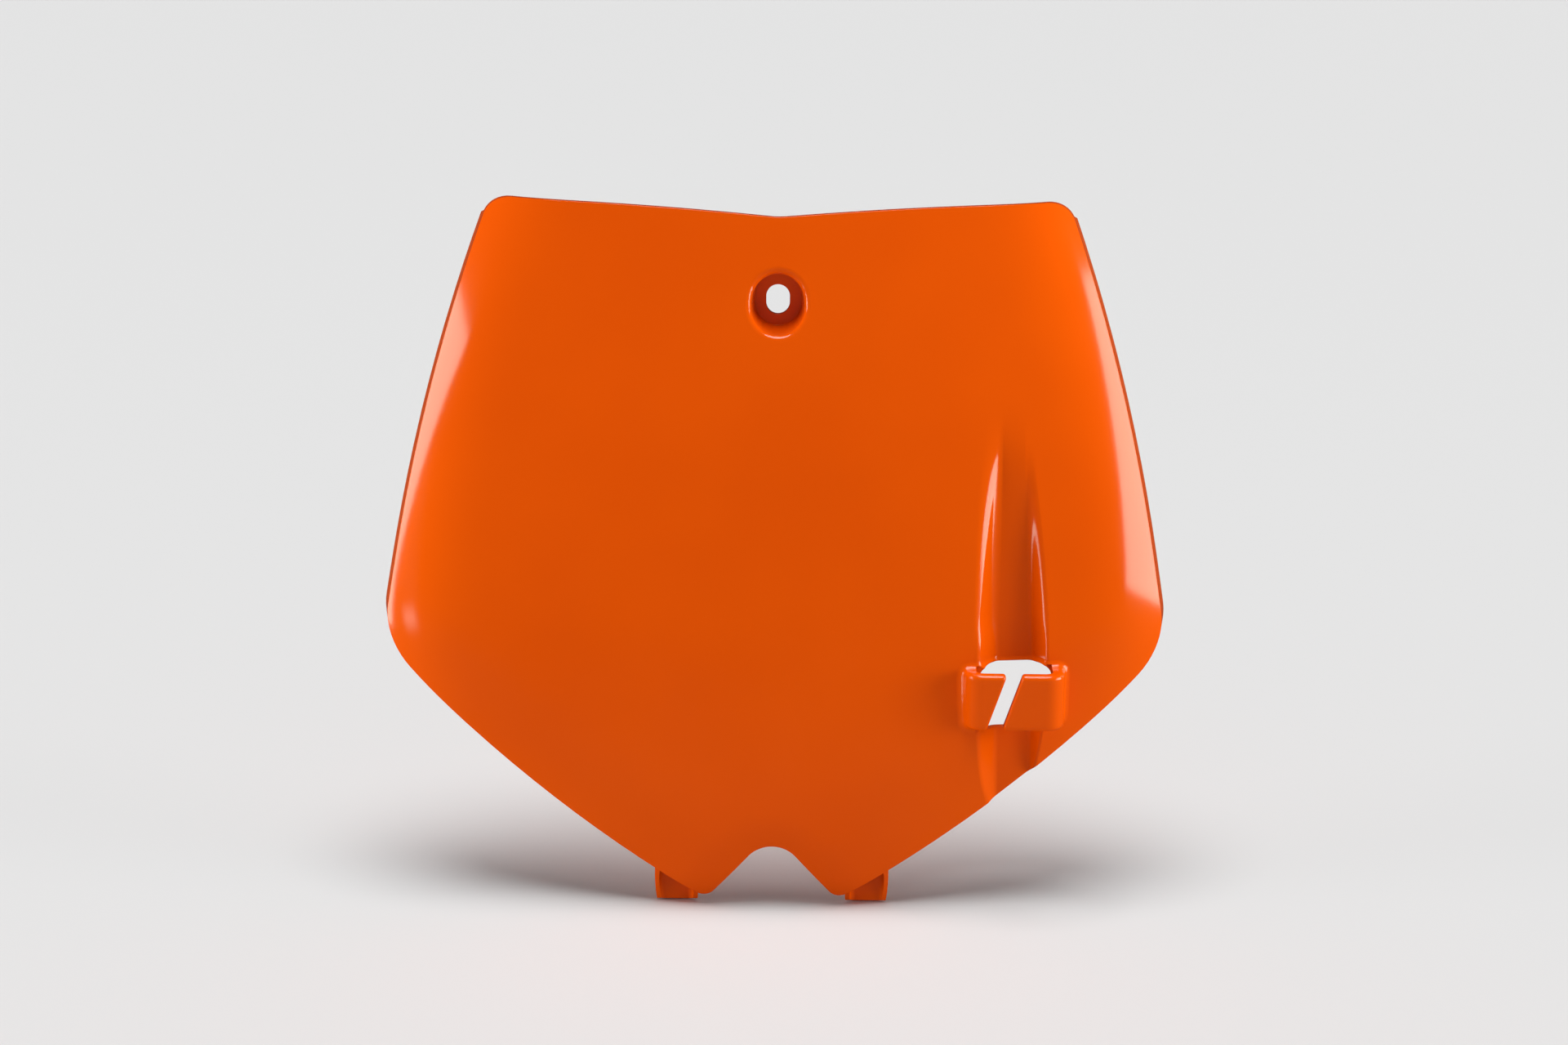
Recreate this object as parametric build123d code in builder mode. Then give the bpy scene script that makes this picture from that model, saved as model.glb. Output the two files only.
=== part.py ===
"""Front number board of an off-road racing motorcycle, moulded in one piece.

Frame: +Z up, the board faces -Y, +X is to the right of someone looking at it.
The origin is the middle of the screw slot, on the seat at the back of its pocket.
Most of the board is drawn in the plane of its leaning face: u to the right,
v up the face and w out of it, from the point where the screw axis meets that plane.
"""

import math
import os

from build123d import *

os.makedirs("parts", exist_ok=True)

# Wall, and the lean of the face from upright
wall = 2.2
face_lean = 13.0

# Crown of the face, nearly flat and curved both ways
profile_radius = 600.0
crown_radius = 550.0
crown_level = -78.0

# Outline in the face plane, right half, corners before rounding
top_dip_level = 27.3
top_end_level = 31.0
top_radius = 1050.0
top_dip_rounding = 30.0
top_corner = (94.8, 34.9)
top_corner_rounding = 10.0
side_corner = (128.1, -111.0)
side_corner_rounding = 20.0
side_radius = 565.0
lower_end_level = -115.0
lower_radius = 596.0
bottom_level = -209.6

# Notch in the bottom edge, between two rounded tips
notch_level = -177.6
notch_slope = 1.2
notch_rounding = 10.0
tip_rounding = 4.0

# How far in each edge starts to roll back, and how far it drops there
side_roll, side_drop = 32.0, 6.0
lower_roll, lower_drop = 30.0, 4.2
notch_roll, notch_drop = 11.5, 2.4

# Return flanges along the two sides, from kink to kink
flange_depth = 8.0
flange_draft = 12.0
flange_top = 31.5
flange_bottom = -110.7
flange_inner = 86.0
crease_level = -16.0

# Screw pocket with its slot
pocket_depth = 12.0
pocket_width = 17.8
pocket_height = 19.3
pocket_draft = 7.0
pocket_floor = 2.5
pocket_lip = 2.0
slot_width = 7.7
slot_height = 9.9

# Hose channel, a groove that deepens down the face to its full depth
channel_left = 72.3
channel_floor = 11.7
channel_depth = 7.0
channel_left_wall = 44.0
channel_right_wall = 60.0
channel_bend = 3.0
channel_crease = 2.0
channel_full_level = -118.0
channel_runout = 100.0
channel_breakout = 1.6

# Hose guide: two fingers over the channel, and the window behind them
guide_left = 62.3
guide_right = 93.6
guide_flare = 1.8
guide_front = -47.0
guide_top = -114.5
guide_bottom = -133.0
guide_wall = 3.3
guide_corner = 6.0
guide_edge = 1.6
guide_depth = 22.0
guide_root = 2.5
slit_edge = 1.0
slit_middle = 74.6
slit_width = 5.1
slit_lean = 19.0
window_inset = 1.0
window_top_gap = 0.8
window_bottom_gap = 2.2
window_corner = 4.0

# Holding lugs behind the bottom tips, flat sleeves open below
lug_offset = 31.2
lug_width = 14.2
lug_thickness = 7.0
lug_wall = 1.5
lug_front = -43.6
lug_front_end = -191.6
lug_back_reach = 2.8
lug_length = 27.0
lug_roof = 2.5
neck_width = 9.0
neck_height = 16.0

# Working room round the board for blocks and tools, and the net the face is drawn on
block_reach = 60.0
block_margin = 12.0
skin_depth = 14.0
channel_mouth = 24.0
channel_lower_turn = 9.0
net_margin = 8.0
net_columns, net_rows = 49, 45
net_step = 0.5
net_tolerance = 0.05

lean = math.radians(face_lean)
face_plane = Plane(
    origin=(0, -pocket_depth, 0),
    x_dir=(1, 0, 0),
    z_dir=(0, -math.cos(lean), math.sin(lean)),
)
backward = -face_plane.z_dir


def arc_centre(start, end, radius):
    """Centre of an arc that bulges away from the middle of the board, start above end."""
    half = math.dist(start, end) / 2
    reach = math.sqrt(radius**2 - half**2) / (2 * half)
    middle = ((start[0] + end[0]) / 2, (start[1] + end[1]) / 2)
    return (middle[0] + (end[1] - start[1]) * reach, middle[1] + (start[0] - end[0]) * reach)


lower_corner = (side_corner[0], lower_end_level)
bottom_corner = (0.0, bottom_level)
side_centre = arc_centre(top_corner, side_corner, side_radius)
lower_centre = arc_centre(lower_corner, bottom_corner, lower_radius)
notch_apex = notch_level + notch_rounding * (math.hypot(1, notch_slope) - 1)


def roll_back(distance, reach, drop, power):
    """Drop of a rolled edge at a distance in from it, straight on past the edge."""
    share = 1 - distance / reach
    if share <= 0:
        return 0.0
    if share <= 1:
        return drop * share**power
    return drop * (1 + power * (share - 1))


def face_height(u, v):
    """Height w of the front of the board over the face plane."""
    height = math.sqrt(profile_radius**2 - (v - crown_level) ** 2)
    height -= math.sqrt(profile_radius**2 - crown_level**2)
    height += math.sqrt(crown_radius**2 - u**2) - crown_radius
    to_side = side_radius - math.dist((abs(u), v), side_centre)
    to_lower = lower_radius - math.dist((math.hypot(u, lower_roll), v), lower_centre)
    soft_u = math.hypot(u, notch_rounding)
    to_notch = v - notch_level + notch_slope * (soft_u - notch_rounding)
    to_notch /= math.hypot(1, notch_slope * u / soft_u)
    height -= roll_back(to_side, side_roll, side_drop, 3)
    height -= roll_back(to_lower, lower_roll, lower_drop, 3)
    return height - roll_back(to_notch, notch_roll, notch_drop, 2)


def face_point(u, v, depth):
    """Point at a depth under the front of the board, along its normal."""
    rise_u = (face_height(u + net_step, v) - face_height(u - net_step, v)) / (2 * net_step)
    rise_v = (face_height(u, v + net_step) - face_height(u, v - net_step)) / (2 * net_step)
    inward = Vector(rise_u, rise_v, -1).normalized()
    return face_plane.from_local_coords(Vector(u, v, face_height(u, v)) + inward * depth)


def face_surface(depth):
    """Smooth surface at a depth under the front, wider than the board all round."""
    half_width = side_corner[0] + net_margin
    high = top_corner[1] + net_margin
    columns = [half_width * (2 * i / (net_columns - 1) - 1) for i in range(net_columns)]
    rows = [bottom_level + (high - bottom_level) * j / (net_rows - 1) for j in range(net_rows)]
    net = [[face_point(u, v, depth) for u in columns] for v in rows]
    return Face.make_surface_from_array_of_points(net, tol=net_tolerance, min_deg=3, max_deg=3)


def behind(surface, depth):
    """Solid from a face surface straight back to a depth."""
    with BuildPart() as solid:
        extrude(surface, amount=depth, dir=backward)
    return solid.part


front_face = face_surface(0)
middle_face = face_surface(wall / 2)
inner_face = face_surface(wall)


def outline_block(inset):
    """Everything inside the outline drawn in by an inset. The top and lower edges are cut
    along the screw axis, and the two sides have the draft of the flanges."""
    block_side = side_corner[0] + block_margin
    top_end = (side_corner[0], top_end_level)
    top_far = (block_side, top_end_level)
    lower_run = math.sqrt(lower_radius**2 - (block_side - lower_centre[0]) ** 2)
    lower_far = (block_side, lower_centre[1] - lower_run)
    notch_far = block_margin + notch_apex - bottom_level
    notch_foot = notch_apex - notch_slope * notch_far
    rear_radius = side_radius - inset
    rear_radius += (block_reach + crease_level) * math.tan(math.radians(flange_draft))
    barrel_top = top_corner[1] + block_margin
    barrel_bottom = bottom_level - block_margin
    top_run = math.sqrt(rear_radius**2 - (barrel_top - side_centre[1]) ** 2)
    bottom_run = math.sqrt(rear_radius**2 - (barrel_bottom - side_centre[1]) ** 2)
    barrel_high = (side_centre[0] + top_run, barrel_top)
    barrel_low = (side_centre[0] + bottom_run, barrel_bottom)
    with BuildPart() as block:
        with BuildSketch(face_plane) as edges_across:
            with BuildLine():
                ThreePointArc(bottom_corner, lower_corner, lower_far)
                Polyline(lower_far, top_far, top_end)
                RadiusArc(top_end, (0, top_dip_level), -top_radius)
                Line((0, top_dip_level), bottom_corner)
            make_face()
            mirror(about=Plane.YZ)
            with BuildLine():
                Polyline((notch_far, notch_foot), (0, notch_apex), (-notch_far, notch_foot), close=True)
            make_face(mode=Mode.SUBTRACT)
            fillet(edges_across.vertices().sort_by_distance((0, top_dip_level))[0], top_dip_rounding)
            fillet(edges_across.vertices().sort_by_distance((0, notch_apex))[0], notch_rounding)
            fillet(edges_across.vertices().group_by(Axis.Y)[0], tip_rounding)
            if inset:
                offset(amount=-inset)
        extrude(edges_across.sketch, amount=block_reach, dir=(0, 1, 0))
        extrude(edges_across.sketch, amount=block_reach, dir=(0, -1, 0))
        with BuildSketch(face_plane.offset(-block_reach)) as barrel:
            with BuildLine():
                ThreePointArc(barrel_low, (side_centre[0] + rear_radius, side_centre[1]), barrel_high)
                Polyline(barrel_high, (0, barrel_top), (0, barrel_bottom), barrel_low)
            make_face()
            mirror(about=Plane.YZ)
        extrude(barrel.sketch, amount=2 * block_reach, taper=flange_draft, mode=Mode.INTERSECT)
        for corner, rounding in ((top_corner, top_corner_rounding), (side_corner, side_corner_rounding)):
            for side in (-1, 1):
                place = face_plane.from_local_coords(Vector(side * corner[0], corner[1], crease_level))
                fillet(block.edges().sort_by_distance(place)[0], rounding - inset)
    return block.part


outer_block = outline_block(0)
inner_block = outline_block(wall)

# The channel's section is turned about the axis of the face's own curve. Above its full depth
# it is turned about an axis in front of the face and then about one behind it, so that the
# floor of the groove rises in a long S and breaks out of the face at a flat angle
channel_middle = channel_left + channel_floor / 2
channel_drop = crown_radius - math.sqrt(crown_radius**2 - channel_middle**2)
channel_tilt = math.asin(channel_middle / crown_radius)
floor_radius = profile_radius - channel_depth
floor_turn = math.asin((channel_full_level - crown_level) / floor_radius)
runout_bend = 4 * (channel_depth + channel_breakout) / channel_runout**2
hollow_radius = 1 / (runout_bend - 1 / floor_radius)
roll_radius = 1 / (runout_bend + 1 / floor_radius)
roll_turn = floor_turn - channel_runout / 2 / hollow_radius


def channel_out(turn):
    """Direction out of the channel's floor, in the face plane."""
    return Vector(0, math.sin(turn), math.cos(turn))


curve_height = -math.sqrt(profile_radius**2 - crown_level**2) - channel_drop
curve_centre = Vector(channel_middle, crown_level, curve_height)
channel_start = curve_centre + channel_out(floor_turn) * floor_radius
hollow_centre = channel_start + channel_out(floor_turn) * hollow_radius
roll_start = hollow_centre - channel_out(roll_turn) * hollow_radius
roll_centre = roll_start - channel_out(roll_turn) * roll_radius


def face_axis(point, side):
    """Axis across the board, to one side, through a point given in the face plane."""
    return Axis(face_plane.from_local_coords(point), face_plane.x_dir * side)


def channel_section(point, turn, grow):
    """Section of the channel, or of the channel grown by a wall, square to its floor."""
    across = Vector(math.cos(channel_tilt), 0, 0) - channel_out(turn) * math.sin(channel_tilt)
    down = Vector(0, -math.cos(turn), math.sin(turn))
    start = face_plane.from_local_coords(point)
    section_plane = Plane(
        origin=start,
        x_dir=face_plane.from_local_coords(point + across) - start,
        z_dir=face_plane.from_local_coords(point + down) - start,
    )
    left_run = channel_mouth / math.tan(math.radians(channel_left_wall))
    right_run = channel_mouth / math.tan(math.radians(channel_right_wall))
    with BuildSketch(section_plane) as section:
        with BuildLine():
            Polyline(
                (-channel_floor / 2, 0),
                (channel_floor / 2, 0),
                (channel_floor / 2 + right_run, channel_mouth),
                (-channel_floor / 2 - left_run, channel_mouth),
                close=True,
            )
        make_face()
        fillet(section.vertices().group_by(Axis.Y)[0], channel_bend)
        if grow:
            offset(amount=grow)
    return section.sketch


def channel_tool(grow):
    """The space of the channel, or that space grown by a wall."""
    full_section = channel_section(channel_start, floor_turn, grow)
    roll_section = channel_section(roll_start, roll_turn, grow)
    half_run = channel_runout / 2
    with BuildPart() as tool:
        revolve(full_section, face_axis(curve_centre, 1), channel_lower_turn)
        revolve(full_section, face_axis(hollow_centre, 1), math.degrees(half_run / hollow_radius))
        revolve(roll_section, face_axis(roll_centre, -1), math.degrees(half_run / roll_radius))
    return tool.part


# Everything behind the skin and behind the wall of the channel
with BuildPart() as core:
    add(behind(inner_face, block_reach))
    add(channel_tool(wall), mode=Mode.SUBTRACT)

# Return flanges: a wall's width of the block, at the sides only
with BuildPart() as flanges:
    add(behind(front_face, flange_depth))
    add(outer_block, mode=Mode.INTERSECT)
    add(inner_block, mode=Mode.SUBTRACT)
    with BuildSketch(face_plane):
        for side in (-1, 1):
            with Locations((side * (flange_inner + block_reach / 2), (flange_top + flange_bottom) / 2)):
                Rectangle(block_reach, flange_top - flange_bottom)
    extrude(amount=block_reach, both=True, mode=Mode.INTERSECT)

# Boss behind the screw pocket, from the seat up into the skin
pocket_taper = 2 * (pocket_depth - pocket_floor) * math.tan(math.radians(pocket_draft))
pocket_base_width = pocket_width - pocket_taper
pocket_base_height = pocket_height - pocket_taper

with BuildPart() as boss:
    with BuildSketch(Plane.XZ):
        SlotOverall(pocket_base_height + 2 * wall, pocket_base_width + 2 * wall, rotation=90)
    extrude(amount=block_reach / 2, taper=-pocket_draft)
    add(behind(middle_face, block_reach), mode=Mode.INTERSECT)

# Hose guide: a block with soft edges that stands off the face, hollowed later into an arch
guide_height = guide_top - guide_bottom
guide_level = (guide_top + guide_bottom) / 2
guide_inside = guide_front + guide_wall
guide_back = guide_front + guide_depth

with BuildPart() as guide:
    with BuildSketch(Plane.XY.offset(guide_bottom)) as arch:
        with BuildLine():
            Polyline(
                (guide_left, guide_front),
                (guide_right, guide_front),
                (guide_right + guide_flare, guide_back),
                (guide_left - guide_flare, guide_back),
                close=True,
            )
        make_face()
        fillet(arch.vertices().group_by(Axis.Y)[0], guide_corner)
    extrude(amount=guide_height)
    guide_ends = guide.faces().filter_by(Axis.Z).edges()
    fillet(guide_ends.sort_by(Axis.Y)[:-2], guide_edge)

# Lugs behind the bottom tips, cut back at the front and joined to the skin by a neck
lug_top = lug_front_end + lug_length
lug_middle = lug_front + lug_thickness / 2
lug_end_plane = Plane(
    origin=(0, lug_front, lug_front_end),
    x_dir=(1, 0, 0),
    z_dir=(0, lug_back_reach, lug_thickness),
)

with BuildPart() as lugs:
    for side in (-1, 1):
        with BuildSketch(Plane.XY.offset(lug_top)):
            with Locations((side * lug_offset, lug_middle)):
                SlotOverall(lug_width, lug_thickness)
        extrude(amount=-lug_length - lug_back_reach)
        with BuildSketch(Plane.XY.offset(lug_top)):
            with Locations((side * lug_offset, lug_middle)):
                Rectangle(neck_width, lug_thickness, align=(Align.CENTER, Align.MAX))
        extrude(amount=-neck_height)
    split(bisect_by=lug_end_plane, keep=Keep.TOP)
    for side in (-1, 1):
        with BuildSketch(Plane.XY.offset(lug_top - lug_roof)):
            with Locations((side * lug_offset, lug_middle)):
                SlotOverall(lug_width - 2 * lug_wall, lug_thickness - 2 * lug_wall)
        extrude(amount=-lug_length - lug_back_reach, mode=Mode.SUBTRACT)
    add(behind(middle_face, block_reach), mode=Mode.INTERSECT)

# The board: a skin with the channel pressed into it and the guide rooted on it
channel = channel_tool(0)


def on_front(edge):
    """True for an edge that lies on the front of the board."""
    return front_face.distance_to(edge @ 0.5) < net_tolerance


with BuildPart() as number_board:
    add(behind(front_face, skin_depth))
    add(outer_block, mode=Mode.INTERSECT)
    add(channel, mode=Mode.SUBTRACT)
    creases = edges(Select.LAST).filter_by(on_front)
    fillet(creases.filter_by(lambda edge: channel.distance_to(edge @ 0.5) < net_tolerance), channel_crease)
    add(guide.part)
    roots = edges(Select.NEW).filter_by(lambda edge: front_face.distance_to(edge @ 0.5) < channel_depth)
    fillet(roots, guide_root)
    add(core.part, mode=Mode.SUBTRACT)

    # The guide is hollowed down to the skin, the window behind it opened, and its arch slit on
    # the slant into two fingers, so that a hose can be pressed in
    hollow_left, hollow_right = guide_left + guide_wall, guide_right - guide_wall
    window_bottom = guide_bottom - window_bottom_gap
    window_height = guide_height + window_bottom_gap + window_top_gap
    with BuildSketch(Plane.XY.offset(window_bottom), mode=Mode.PRIVATE) as hollow:
        with BuildLine():
            Polyline(
                (hollow_left, guide_inside),
                (hollow_right, guide_inside),
                (hollow_right, guide_back),
                (hollow_left, guide_back),
                close=True,
            )
        make_face()
        fillet(hollow.vertices().group_by(Axis.Y)[0], guide_corner - guide_wall)
    with BuildPart(mode=Mode.SUBTRACT):
        extrude(hollow.sketch, amount=window_height)
        add(behind(front_face, block_reach), mode=Mode.SUBTRACT)
    with BuildSketch(Plane.XZ.offset(-guide_inside - guide_corner + guide_wall)) as window:
        with Locations(((hollow_left + window_inset + hollow_right) / 2, window_bottom)):
            Rectangle(
                hollow_right - hollow_left - window_inset,
                window_height,
                align=(Align.CENTER, Align.MIN),
            )
        fillet(window.vertices(), window_corner)
    extrude(amount=-block_reach, mode=Mode.SUBTRACT)
    slit_shift = guide_height * math.tan(math.radians(slit_lean))
    with BuildSketch(Plane.XZ.offset(-guide_inside)):
        with BuildLine():
            Polyline(
                (slit_middle + slit_shift - slit_width / 2, guide_level + guide_height),
                (slit_middle - slit_shift - slit_width / 2, guide_level - guide_height),
                (slit_middle - slit_shift + slit_width / 2, guide_level - guide_height),
                (slit_middle + slit_shift + slit_width / 2, guide_level + guide_height),
                close=True,
            )
        make_face()
    extrude(amount=2 * guide_wall, mode=Mode.SUBTRACT)
    slit_edges = edges(Select.LAST).filter_by(lambda edge: abs(edge.center().Y - guide_front) < net_tolerance)
    fillet(slit_edges, slit_edge)

    # Flanges, boss and lugs, then the pocket with its rounded lip and its slot
    add(flanges.part)
    add(boss.part)
    add(lugs.part)
    with BuildSketch(Plane.XZ.offset(pocket_floor)):
        SlotOverall(pocket_base_height, pocket_base_width, rotation=90)
    extrude(amount=block_reach / 2, taper=-pocket_draft, mode=Mode.SUBTRACT)
    fillet(edges(Select.LAST).filter_by(on_front), pocket_lip)
    with BuildSketch(Plane.XZ):
        SlotOverall(slot_height, slot_width, rotation=90)
    extrude(amount=pocket_floor, mode=Mode.SUBTRACT)

number_board.part.label = "number_board"
export_step(number_board.part, "parts/number_board.step")
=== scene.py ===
import math

import bpy
import numpy as np
from mathutils import Matrix, Vector
from mathutils.geometry import delaunay_2d_cdt


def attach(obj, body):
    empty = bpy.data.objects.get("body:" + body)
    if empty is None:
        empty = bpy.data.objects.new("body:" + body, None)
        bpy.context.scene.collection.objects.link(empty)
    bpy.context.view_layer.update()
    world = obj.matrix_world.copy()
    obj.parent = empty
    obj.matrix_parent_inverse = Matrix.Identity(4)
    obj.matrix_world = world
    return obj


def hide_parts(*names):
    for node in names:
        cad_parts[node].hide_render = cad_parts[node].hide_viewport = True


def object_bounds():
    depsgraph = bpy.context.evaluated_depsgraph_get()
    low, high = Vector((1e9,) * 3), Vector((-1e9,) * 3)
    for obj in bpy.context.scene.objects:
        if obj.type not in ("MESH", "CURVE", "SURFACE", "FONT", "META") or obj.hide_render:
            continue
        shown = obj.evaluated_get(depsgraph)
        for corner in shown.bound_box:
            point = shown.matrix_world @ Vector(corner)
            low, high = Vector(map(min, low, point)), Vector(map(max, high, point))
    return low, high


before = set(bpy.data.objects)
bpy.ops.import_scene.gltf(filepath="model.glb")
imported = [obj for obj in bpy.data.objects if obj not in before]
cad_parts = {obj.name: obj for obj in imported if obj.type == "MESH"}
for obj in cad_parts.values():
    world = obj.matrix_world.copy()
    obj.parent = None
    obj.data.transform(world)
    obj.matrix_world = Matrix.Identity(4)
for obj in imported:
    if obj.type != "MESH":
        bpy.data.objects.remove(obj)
cad_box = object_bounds()
scene = bpy.context.scene

# The board's front. The board is one shell, injection-moulded in polypropylene with a wall of
# 2.2 mm, held by a screw near its top. Its front is drawn in the plane of the leaning face, in
# mm: u to the right, v up and w out, from where the screw axis meets that plane.
face_lean = math.radians(13.0)
pocket_depth = 12.0
profile_radius, crown_radius, crown_level = 600.0, 550.0, -78.0
side_radius, lower_radius = 565.0, 596.0
top_corner, side_corner = (94.8, 34.9), (128.1, -111.0)
lower_corner, lower_tip = (128.1, -115.0), (0.0, -209.6)
side_roll, side_drop = 32.0, 6.0
lower_roll, lower_drop = 30.0, 4.2
notch_roll, notch_drop = 11.5, 2.4
edge_power, notch_power = 3, 2
notch_level, notch_slope, notch_rounding = -177.6, 1.2, 10.0


def arc_centre(start, end, radius):
    """Centre of an outline arc that bulges away from the middle of the board."""
    half = math.dist(start, end) / 2
    reach = math.sqrt(radius**2 - half**2) / (2 * half)
    middle = ((start[0] + end[0]) / 2, (start[1] + end[1]) / 2)
    return (middle[0] + (end[1] - start[1]) * reach, middle[1] + (start[0] - end[0]) * reach)


side_centre = arc_centre(top_corner, side_corner, side_radius)
lower_centre = arc_centre(lower_corner, lower_tip, lower_radius)


def profile_height(v):
    """Height of the face's curve from top to bottom."""
    height = np.sqrt(profile_radius**2 - (v - crown_level) ** 2)
    return height - math.sqrt(profile_radius**2 - crown_level**2)


def crown_height(u):
    """Height of the face's curve from side to side."""
    return np.sqrt(crown_radius**2 - u**2) - crown_radius


def roll_back(distance, reach, drop, power):
    """Drop of a rolled edge at a distance in from it, straight on past the edge."""
    share = np.maximum(1 - distance / reach, 0)
    return drop * np.where(share <= 1, share**power, 1 + power * (share - 1))


def face_height(u, v):
    """Height of the crowned face with its rolled edges."""
    to_side = side_radius - np.hypot(np.abs(u) - side_centre[0], v - side_centre[1])
    to_lower = lower_radius - np.hypot(np.hypot(u, lower_roll) - lower_centre[0], v - lower_centre[1])
    soft_u = np.hypot(u, notch_rounding)
    to_notch = v - notch_level + notch_slope * (soft_u - notch_rounding)
    to_notch = to_notch / np.hypot(1, notch_slope * u / soft_u)
    height = profile_height(v) + crown_height(u)
    height -= roll_back(to_side, side_roll, side_drop, edge_power)
    height -= roll_back(to_lower, lower_roll, lower_drop, edge_power)
    return height - roll_back(to_notch, notch_roll, notch_drop, notch_power)


# The hose channel, moulded into the front. Its floor follows the face 7 mm down, then rises in a
# long S and runs out of the face. The moulded surface dies away more softly there than the
# solid's walls do, so the front follows the solid up to the guide and its own soft end above.
channel_left, channel_floor, channel_depth = 72.3, 11.7, 7.0
channel_full_level, channel_runout, channel_breakout = -118.0, 100.0, 1.6
left_wall, right_wall = math.radians(44.0), math.radians(60.0)
crease_blend, bend_blend = 1.0, 1.5
soft_from, soft_to, soft_end, soft_power = -112.0, -100.0, 1.2, 1.6
last_run, least_depth = 1.2, 0.001
left_runout, left_foot, left_width, left_narrowing = 80.0, 73.6, 9.2, 3.4
left_crease, left_softening = 0.35, 0.5
right_runout, right_foot, right_width, right_narrowing = 68.0, 82.5, 7.4, 4.2
right_shift = 1.7
channel_middle = channel_left + channel_floor / 2
channel_tilt = math.asin(channel_middle / crown_radius)


def soft_least(a, b, blend):
    """The lesser of two heights, rounded off where they cross."""
    near = np.maximum(1 - np.abs(a - b) / blend, 0)
    return np.minimum(a, b) - blend * near**2 / 4


def solid_height(u, v):
    """Height of the front as the solid has it, with the channel's straight walls."""
    run = np.clip((v - channel_full_level) / channel_runout, 0, 1)
    rise = np.where(run < 0.5, 2 * run**2, 1 - 2 * (1 - run) ** 2)
    middle = profile_height(v) + crown_height(channel_middle) - channel_depth
    middle = middle + rise * (channel_depth + channel_breakout)
    floor = middle - (u - channel_middle) * math.sin(channel_tilt)
    half_wide = channel_floor / 2 * math.cos(channel_tilt)
    half_drop = channel_floor / 2 * math.sin(channel_tilt)
    left = middle + half_drop + math.tan(left_wall + channel_tilt) * (channel_middle - half_wide - u)
    right = middle - half_drop + math.tan(right_wall - channel_tilt) * (u - channel_middle - half_wide)
    channel = -soft_least(soft_least(-floor, -left, bend_blend), -right, bend_blend)
    return soft_least(face_height(u, v), channel, crease_blend)


def wall_drop(into, depth, width, steepest, crease_share):
    """Depth of a wall at a distance in from its crease: two arcs, with a straight between if deep."""
    depth = np.maximum(depth, least_depth)
    angle = np.minimum(steepest, 2 * np.arctan(depth / width))
    rounding = (width - depth / np.tan(angle)) / np.tan(angle / 2)
    crease, bend = rounding * crease_share, rounding * (1 - crease_share)
    left = width - into
    on_crease = crease - np.sqrt(np.maximum(crease**2 - np.maximum(into, 0) ** 2, 0))
    on_bend = depth - bend + np.sqrt(np.maximum(bend**2 - np.maximum(left, 0) ** 2, 0))
    straight = (into - crease * np.tan(angle / 2)) * np.tan(angle)
    drop = np.where(left < bend * np.sin(angle), on_bend, straight)
    drop = np.where(into < crease * np.sin(angle), on_crease, drop)
    return np.where(left <= 0, depth, drop)


def soft_depth(v, runout):
    """Depth of the channel beside one wall as it dies away."""
    run = np.clip((v - channel_full_level) / runout, 0, last_run)
    return -soft_least(channel_depth * (run**soft_power - 1), 0, soft_end)


def front_height(u, v):
    """Height of the whole front, with the soft upper end of the channel."""
    fall = math.tan(channel_tilt)
    steep_left = math.atan(math.tan(left_wall + channel_tilt) - fall)
    left_depth, right_depth = soft_depth(v, left_runout), soft_depth(v, right_runout)
    left_fade, right_fade = 1 - left_depth / channel_depth, 1 - right_depth / channel_depth
    wide_left = left_width - left_narrowing * left_fade**2
    wide_right = right_width - right_narrowing * right_fade
    foot = right_foot - right_shift * right_fade
    crease_share = left_crease + left_softening * left_fade
    left = wall_drop(u - left_foot + wide_left, left_depth, wide_left, steep_left, crease_share)
    left = left / np.maximum(left_depth, least_depth)
    right = np.clip((foot + wide_right - u) / wide_right, 0, 1)
    right = right**2 * (3 - 2 * right)
    way = np.clip((u - left_foot) / (foot - left_foot), 0, 1)
    depth = left_depth + (right_depth - left_depth) * way
    soft = face_height(u, v) - depth * np.minimum(left, right)
    share = np.clip((v - soft_from) / (soft_to - soft_from), 0, 1)
    share = share**2 * (3 - 2 * share)
    return solid_height(u, v) * (1 - share) + soft * share


# The whole board as one mesh. The solid's own facets are kept for the back, the rims, the pocket,
# the guide and the lugs, and inside the same rims the front is drawn anew on a finer net, so
# that light runs over it as smoothly as over a polished moulding.
node_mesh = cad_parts["number_board"].data
place = np.empty(len(node_mesh.vertices) * 3)
node_mesh.vertices.foreach_get("co", place)
place = place.reshape(-1, 3)
facets = np.empty(len(node_mesh.loops), dtype=np.int64)
node_mesh.loops.foreach_get("vertex_index", facets)
facets = facets.reshape(-1, 3)
facet_normals = np.empty(len(node_mesh.loops) * 3)
node_mesh.corner_normals.foreach_get("vector", facet_normals)
facet_normals = facet_normals.reshape(-1, 3, 3)

lean_sin, lean_cos = math.sin(face_lean), math.cos(face_lean)
across = np.array([1.0, 0, 0])
upward = np.array([0, lean_sin, lean_cos])
outward = np.array([0, -lean_cos, lean_sin])
origin = np.array([0, -pocket_depth, 0])
place_mm = place * 1000 - origin
u_all, v_all, w_all = place_mm @ across, place_mm @ upward, place_mm @ outward

# Faces of the solid are facets that share vertices, and each gets one label
label = np.arange(len(place))
while True:
    least = label[facets].min(axis=1)
    fresh = label.copy()
    for corner in range(3):
        np.minimum.at(fresh, facets[:, corner], least)
    fresh = fresh[fresh]
    if (fresh == label).all():
        break
    label = fresh
patch = np.unique(label, return_inverse=True)[1]
patch_count = patch.max() + 1

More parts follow.
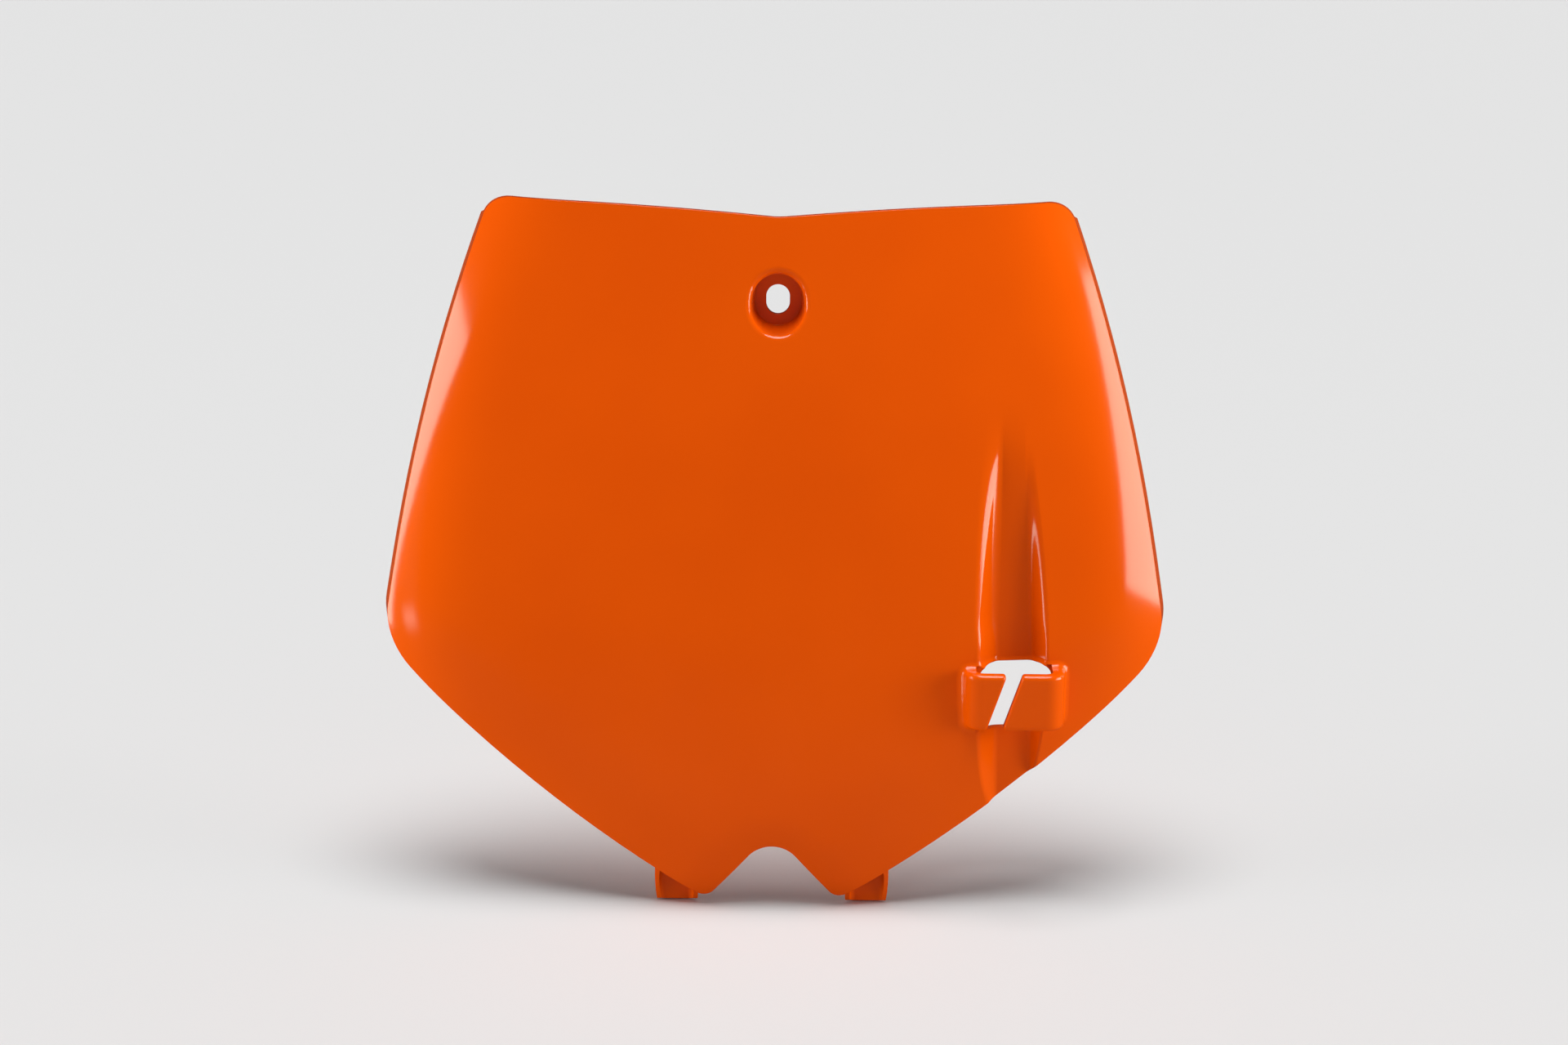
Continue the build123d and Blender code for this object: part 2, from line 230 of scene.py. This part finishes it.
# A face belongs to the front if it lies on the front's formula and looks forward. The rounded
# tops and bottoms of the guide's roots do too, and they are left to the solid.
front_tolerance, least_facing = 0.5, 0.15
root_bands = ((-139.0, -136.0), (-116.9, -112.9))
patch_off = np.zeros(patch_count)
np.maximum.at(patch_off, patch, np.abs(w_all - solid_height(u_all, v_all)))
spread = place[facets[:, 1:]] - place[facets[:, :1]]
facet_area = np.cross(spread[:, 0], spread[:, 1]) / 2
facing, whole = np.zeros(patch_count), np.zeros(patch_count)
np.add.at(facing, patch[facets[:, 0]], facet_area @ outward)
np.add.at(whole, patch[facets[:, 0]], np.linalg.norm(facet_area, axis=1))
lowest, highest = np.full(patch_count, np.inf), np.full(patch_count, -np.inf)
np.minimum.at(lowest, patch, v_all)
np.maximum.at(highest, patch, v_all)
on_front = (patch_off < front_tolerance) & (facing > least_facing * whole)
for band_low, band_high in root_bands:
    on_front &= ~((lowest > band_low) & (highest < band_high))
front_facet = on_front[patch[facets[:, 0]]]

# Vertices at one place are merged, and the front's rim is the edges that one front facet has
microns = 1e6
keys, vertex = np.unique(np.round(place * microns).astype(np.int64), axis=0, return_inverse=True)
vertex = vertex.reshape(-1)
first = np.zeros(len(keys), dtype=np.int64)
first[vertex] = np.arange(len(place))
points = place[first]
solid_facets = vertex[facets]
whole_facet = solid_facets[:, 0] != solid_facets[:, 1]
whole_facet &= solid_facets[:, 1] != solid_facets[:, 2]
whole_facet &= solid_facets[:, 2] != solid_facets[:, 0]
kept = whole_facet & ~front_facet
front_edges = solid_facets[front_facet & whole_facet][:, [[0, 1], [1, 2], [2, 0]]].reshape(-1, 2)
front_edges, times = np.unique(np.sort(front_edges, axis=1), axis=0, return_counts=True)
rim, rim_edges = np.unique(front_edges[times == 1], return_inverse=True)
rim_edges = rim_edges.reshape(-1, 2)
rim_uv = np.stack([u_all[first][rim], v_all[first][rim]], axis=1)
least_square = 1e-12


def inside(uv):
    """True for points within the rim of the front and outside its openings."""
    result = np.zeros(len(uv), dtype=bool)
    for start, end in rim_uv[rim_edges]:
        if start[1] != end[1]:
            crossing = (start[1] > uv[:, 1]) != (end[1] > uv[:, 1])
            share = (uv[:, 1] - start[1]) / (end[1] - start[1])
            result ^= crossing & (uv[:, 0] < start[0] + share * (end[0] - start[0]))
    return result


def rim_distance(uv):
    """Distance from each point to the nearest rim edge."""
    nearest = np.full(len(uv), np.inf)
    for start, end in rim_uv[rim_edges]:
        along = end - start
        share = np.clip((uv - start) @ along / max(along @ along, least_square), 0, 1)
        nearest = np.minimum(nearest, np.linalg.norm(uv - start - share[:, None] * along, axis=1))
    return nearest


def net(u_steps, v_steps, clear):
    """Points of a net of rows and columns that lie on the front, clear of its rim."""
    grid = np.stack(np.meshgrid(u_steps, v_steps), axis=-1).reshape(-1, 2)
    grid = grid[inside(grid)]
    return grid[rim_distance(grid) > clear]


# The net is fine over the channel, finest across its walls, and wider over the plain face
face_step, face_clear = 2.5, 1.2
face_half_wide, face_bottom, face_top = 130, -196, 38
channel_row, channel_clear, net_margin = 1.5, 0.3, 1.0
net_left, net_right, net_low, net_high = 62.5, 93.5, -167.0, -22.0
wall_step, floor_step = 0.25, 0.75
columns_from, floor_from, floor_to, columns_to = 63.0, 76.0, 80.5, 93.0
left_columns = np.arange(columns_from, floor_from, wall_step)
floor_columns = np.arange(floor_from, floor_to, floor_step)
right_columns = np.arange(floor_to, columns_to, wall_step)
channel_columns = np.concatenate([left_columns, floor_columns, right_columns])
channel_rows = np.arange(net_low + net_margin, net_high - net_margin, channel_row)
channel_net = net(channel_columns, channel_rows, channel_clear)
face_columns = np.arange(-face_half_wide, face_half_wide, face_step)
face_net = net(face_columns, np.arange(face_bottom, face_top, face_step), face_clear)
beside = (face_net[:, 0] < net_left) | (face_net[:, 0] > net_right)
beside |= (face_net[:, 1] < net_low) | (face_net[:, 1] > net_high)
flat = np.concatenate([rim_uv, channel_net, face_net[beside]])
flat_points = [Vector(p) for p in flat]
merge_distance = 1e-6
triangles = delaunay_2d_cdt(flat_points, rim_edges.tolist(), [], 0, merge_distance)
net_points, _, net_faces, net_origin, _, _ = triangles
net_uv = np.array([list(p) for p in net_points])
net_faces = np.array(net_faces)
net_faces = net_faces[inside(net_uv[net_faces].mean(axis=1))]
net_u, net_v = net_uv.T
face_axes = np.stack([across, upward, outward])
new_points = np.stack([net_u, net_v, front_height(net_u, net_v)], axis=1) @ face_axes
slope_step = 0.02
rise_u = front_height(net_u + slope_step, net_v) - front_height(net_u - slope_step, net_v)
rise_v = front_height(net_u, net_v + slope_step) - front_height(net_u, net_v - slope_step)
new_normals = outward - (rise_u[:, None] * across + rise_v[:, None] * upward) / (2 * slope_step)
new_normals /= np.linalg.norm(new_normals, axis=1)[:, None]

# Points of the net on the rim are the solid's own, so the front joins the rest without a gap
index = np.arange(len(net_uv)) + len(points)
for i, sources in enumerate(net_origin):
    on_rim = [source for source in sources if source < len(rim)]
    if on_rim:
        index[i] = rim[on_rim[0]]
all_points = np.concatenate([points, (origin + new_points) / 1000])
all_faces = np.concatenate([solid_facets[kept], index[net_faces]])
all_normals = np.concatenate([facet_normals[kept], new_normals[net_faces]])
used, renumbered = np.unique(all_faces, return_inverse=True)
board_mesh = bpy.data.meshes.new("number_board_shell")
board_mesh.from_pydata(all_points[used].tolist(), [], renumbered.reshape(-1, 3).tolist())
board_mesh.polygons.foreach_set("use_smooth", [True] * len(board_mesh.polygons))
board_mesh.normals_split_custom_set(all_normals.reshape(-1, 3).tolist())
board = bpy.data.objects.new("number_board_shell", board_mesh)
scene.collection.objects.link(board)

# Polypropylene, coloured through in the melt and moulded against polished steel: an even orange
# that drifts a little where the melt flowed, gloss that changes slowly with the polish, and the
# faint ripple of the polishing. Rims have the small radius that a parting line leaves.
flow_size, polish_size, ripple_size = 60.0, 18.0, 1.6
ripple_height, rim_radius, rim_samples = 0.0015, 0.4, 6
polypropylene_ior, glossiest, dullest = 1.49, 0.10, 0.14
melt_from, melt_to = 0.3, 0.7


def linear(code):
    """Linear colour of an sRGB hex code."""
    parts = [int(code[i : i + 2], 16) / 255 for i in (1, 3, 5)]
    return [c / 12.92 if c <= 0.04045 else ((c + 0.055) / 1.055) ** 2.4 for c in parts] + [1.0]


def add_node(tree, kind, inputs=None, **settings):
    """Adds a node with its settings, its inputs set to values or linked to other nodes' outputs."""
    node = tree.nodes.new(kind)
    for name, value in settings.items():
        setattr(node, name, value)
    for key, value in (inputs or {}).items():
        if isinstance(value, bpy.types.NodeSocket):
            tree.links.new(value, node.inputs[key])
        else:
            node.inputs[key].default_value = value
    return node


plastic = bpy.data.materials.new("orange_polypropylene")
plastic.use_nodes = True
tree = plastic.node_tree
shader = tree.nodes["Principled BSDF"]
shader.inputs["IOR"].default_value = polypropylene_ior
coords = add_node(tree, "ShaderNodeTexCoord").outputs["Object"]
flow_noise = {"Vector": coords, "Scale": 1000 / flow_size, "Detail": 2.0}
flow = add_node(tree, "ShaderNodeTexNoise", flow_noise)
melt = add_node(tree, "ShaderNodeValToRGB", {"Fac": flow.outputs["Fac"]})
first_melt, last_melt = melt.color_ramp.elements
first_melt.position, first_melt.color = melt_from, linear("#DD4E00")
last_melt.position, last_melt.color = melt_to, linear("#E35200")
polish_noise = {"Vector": coords, "Scale": 1000 / polish_size, "Detail": 3.0}
polish = add_node(tree, "ShaderNodeTexNoise", polish_noise)
gloss_range = {"Value": polish.outputs["Fac"], "To Min": glossiest, "To Max": dullest}
gloss = add_node(tree, "ShaderNodeMapRange", gloss_range)
ripple_noise = {"Vector": coords, "Scale": 1000 / ripple_size, "Detail": 1.0}
ripple = add_node(tree, "ShaderNodeTexNoise", ripple_noise)
rounded = add_node(tree, "ShaderNodeBevel", {"Radius": rim_radius / 1000}, samples=rim_samples)
relief = {"Height": ripple.outputs["Fac"], "Distance": ripple_height / 1000}
relief["Normal"] = rounded.outputs["Normal"]
bump = add_node(tree, "ShaderNodeBump", relief)
tree.links.new(melt.outputs["Color"], shader.inputs["Base Color"])
tree.links.new(gloss.outputs["Result"], shader.inputs["Roughness"])
tree.links.new(bump.outputs["Normal"], shader.inputs["Normal"])
board_mesh.materials.append(plastic)
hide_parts("number_board")
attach(board, "root")

# Camera: a long lens, square to the leaning face, from 1.14 m and rolled a little. Its place is in
# mm along the face's own axes.
camera_place, camera_roll = (2.76, -70.74, 1137.6), math.radians(0.65)
camera_data = bpy.data.cameras.new("camera")
camera_data.lens, camera_data.sensor_width = 80.6, 36.0
camera = bpy.data.objects.new("camera", camera_data)
scene.collection.objects.link(camera)
face_turn = Matrix((across, upward, outward)).transposed().to_4x4()
stand = Vector((origin + np.array(camera_place) @ face_axes) / 1000)
camera.matrix_world = Matrix.Translation(stand) @ face_turn @ Matrix.Rotation(camera_roll, 4, "Z")
scene.camera = camera

# Floor of pale matt studio paper, level with the lowest point of the board. The gloss doesn't
# mirror it and it blocks no lamp, as if the board were laid on paper with the paper behind it.
floor_half, floor_level = 12.0, cad_box[0][2]
paper_roughness, paper_sheen = 0.9, 0.1
floor_mesh = bpy.data.meshes.new("studio_floor")
corners = [(-1, -1), (1, -1), (1, 1), (-1, 1)]
floor_points = [(x * floor_half, y * floor_half, floor_level) for x, y in corners]
floor_mesh.from_pydata(floor_points, [], [(0, 1, 2, 3)])
floor = bpy.data.objects.new("studio_floor", floor_mesh)
scene.collection.objects.link(floor)
paper = bpy.data.materials.new("studio_paper")
paper.use_nodes = True
paper_inputs = paper.node_tree.nodes["Principled BSDF"].inputs
paper_inputs["Base Color"].default_value = linear("#E4E4E4")
paper_inputs["Roughness"].default_value = paper_roughness
paper_inputs["Specular IOR Level"].default_value = paper_sheen
floor_mesh.materials.append(paper)
floor.visible_glossy, floor.visible_shadow = False, False

# Softboxes that light the board alone. Two stand at the sides and recede, for the highlights down
# the rolled sides, and a narrow one at the lower left shows in the right wall of the channel.
# Their feet are in metres and degrees from a point on the face, below the screw.
middle_below_screw = 0.075
light_middle = origin / 1000 - middle_below_screw * upward
softbox_radiance = 7.0
softbox_colour = (0.84, 1.0, 0.88)
lit_by_softboxes = bpy.data.collections.new("lit_by_softboxes")
lit_by_softboxes.objects.link(board)


def side_softbox(name, side, near, near_bearing, far, far_bearing, low, high, tilt):
    """Softbox on the face's plane, between two feet that are given by distance and bearing."""
    feet = []
    for distance, bearing in ((near, math.radians(near_bearing)), (far, math.radians(far_bearing))):
        way = side * math.cos(bearing) * across + math.sin(bearing) * upward
        feet.append(light_middle + distance * way)
    length = np.linalg.norm(feet[1] - feet[0])
    along = (feet[1] - feet[0]) / length
    turn = math.radians(tilt)
    x = along * math.cos(turn) + outward * math.sin(turn)
    y = outward * math.cos(turn) - along * math.sin(turn)
    centre = (feet[0] + feet[1]) / 2 + outward * (low + high) / 2
    back = np.cross(x, y)
    if back @ (centre - light_middle) < 0:
        x, back = -x, -back
    lamp = bpy.data.lights.new(name, "AREA")
    lamp.shape = "RECTANGLE"
    lamp.color = softbox_colour
    lamp.size, lamp.size_y = length, high - low
    lamp.energy = softbox_radiance * math.pi * lamp.size * lamp.size_y
    obj = bpy.data.objects.new(name, lamp)
    obj.visible_camera = False
    obj.light_linking.receiver_collection = lit_by_softboxes
    scene.collection.objects.link(obj)
    obj.matrix_world = Matrix.Translation(centre) @ Matrix((x, y, back)).transposed().to_4x4()


side_softbox(
    "left_softbox", side=-1, near=0.545, near_bearing=28.0, far=2.9, far_bearing=-12.0,
    low=-0.30, high=0.055, tilt=-9.1,
)
side_softbox(
    "right_softbox", side=1, near=0.55, near_bearing=-5.0, far=1.0, far_bearing=28.0,
    low=-0.12, high=0.27, tilt=-8.0,
)
side_softbox(
    "narrow_softbox", side=-1, near=1.5, near_bearing=-8.8, far=1.52, far_bearing=-13.2,
    low=0.26, high=0.60, tilt=0.0,
)

# A matt black card beside the lower left corner, as a photographer sets one. Only the gloss sees
# it, and it keeps the narrow softbox out of that corner.
card_u, card_low, card_high, card_back, card_front = -200.0, -140.0, -103.0, -8.0, 33.0
card_roughness = 0.9
card_corners = [
    (card_u, card_low, card_back),
    (card_u, card_high, card_back),
    (card_u, card_high, card_front),
    (card_u, card_low, card_front),
]
card_points = np.array(card_corners) @ face_axes
card_mesh = bpy.data.meshes.new("black_card")
card_mesh.from_pydata(((origin + card_points) / 1000).tolist(), [], [(0, 1, 2, 3)])
card = bpy.data.objects.new("black_card", card_mesh)
scene.collection.objects.link(card)
black = bpy.data.materials.new("black_card")
black.use_nodes = True
black_inputs = black.node_tree.nodes["Principled BSDF"].inputs
black_inputs["Base Color"].default_value = linear("#0A0A0A")
black_inputs["Roughness"].default_value = card_roughness
card_mesh.materials.append(black)
card.visible_camera, card.visible_diffuse, card.visible_shadow = False, False, False

# Broad lights. The one from above lights the floor and gives the shadow, and two that graze the
# face from the sides even it out. The gloss mirrors the first alone.
top_elevation, top_spread, top_strength = math.radians(85.0), 40.0, 2.6
side_rise, side_spread, side_strength = math.radians(16.0), 24.0, 1.15


def broad_light(name, direction, spread, strength, mirrored):
    """Broad even light from a direction, with its spread in degrees."""
    lamp = bpy.data.lights.new(name, "SUN")
    lamp.angle = math.radians(spread)
    lamp.energy = strength
    obj = bpy.data.objects.new(name, lamp)
    obj.visible_camera, obj.visible_glossy = False, mirrored
    scene.collection.objects.link(obj)
    obj.matrix_world = Vector(direction).to_track_quat("Z", "Y").to_matrix().to_4x4()


top_way = (0, -math.cos(top_elevation), math.sin(top_elevation))
broad_light("top_light", top_way, top_spread, top_strength, mirrored=True)
for name, side in (("left_light", -1), ("right_light", 1)):
    side_way = side * math.cos(side_rise) * across + math.sin(side_rise) * outward
    broad_light(name, side_way, side_spread, side_strength, mirrored=False)

# Room: dim all round to the object, dark in the gloss, so that the orange stays deep, and pale
# to the camera alone.
room_fill, room_gloss, room_pale = 0.14, 0.03, 0.8
world = bpy.data.worlds.new("studio")
scene.world = world
world.use_nodes = True
tree = world.node_tree
path = add_node(tree, "ShaderNodeLightPath").outputs
seen = {0: path["Is Camera Ray"], 1: room_pale - room_fill, 2: room_fill}
seen = add_node(tree, "ShaderNodeMath", seen, operation="MULTIPLY_ADD")
level = {0: path["Is Glossy Ray"], 1: room_gloss - room_fill, 2: seen.outputs[0]}
level = add_node(tree, "ShaderNodeMath", level, operation="MULTIPLY_ADD")
tree.nodes["Background"].inputs["Color"].default_value = (1, 1, 1, 1)
tree.links.new(level.outputs[0], tree.nodes["Background"].inputs["Strength"])
scene.view_settings.view_transform = "Standard"
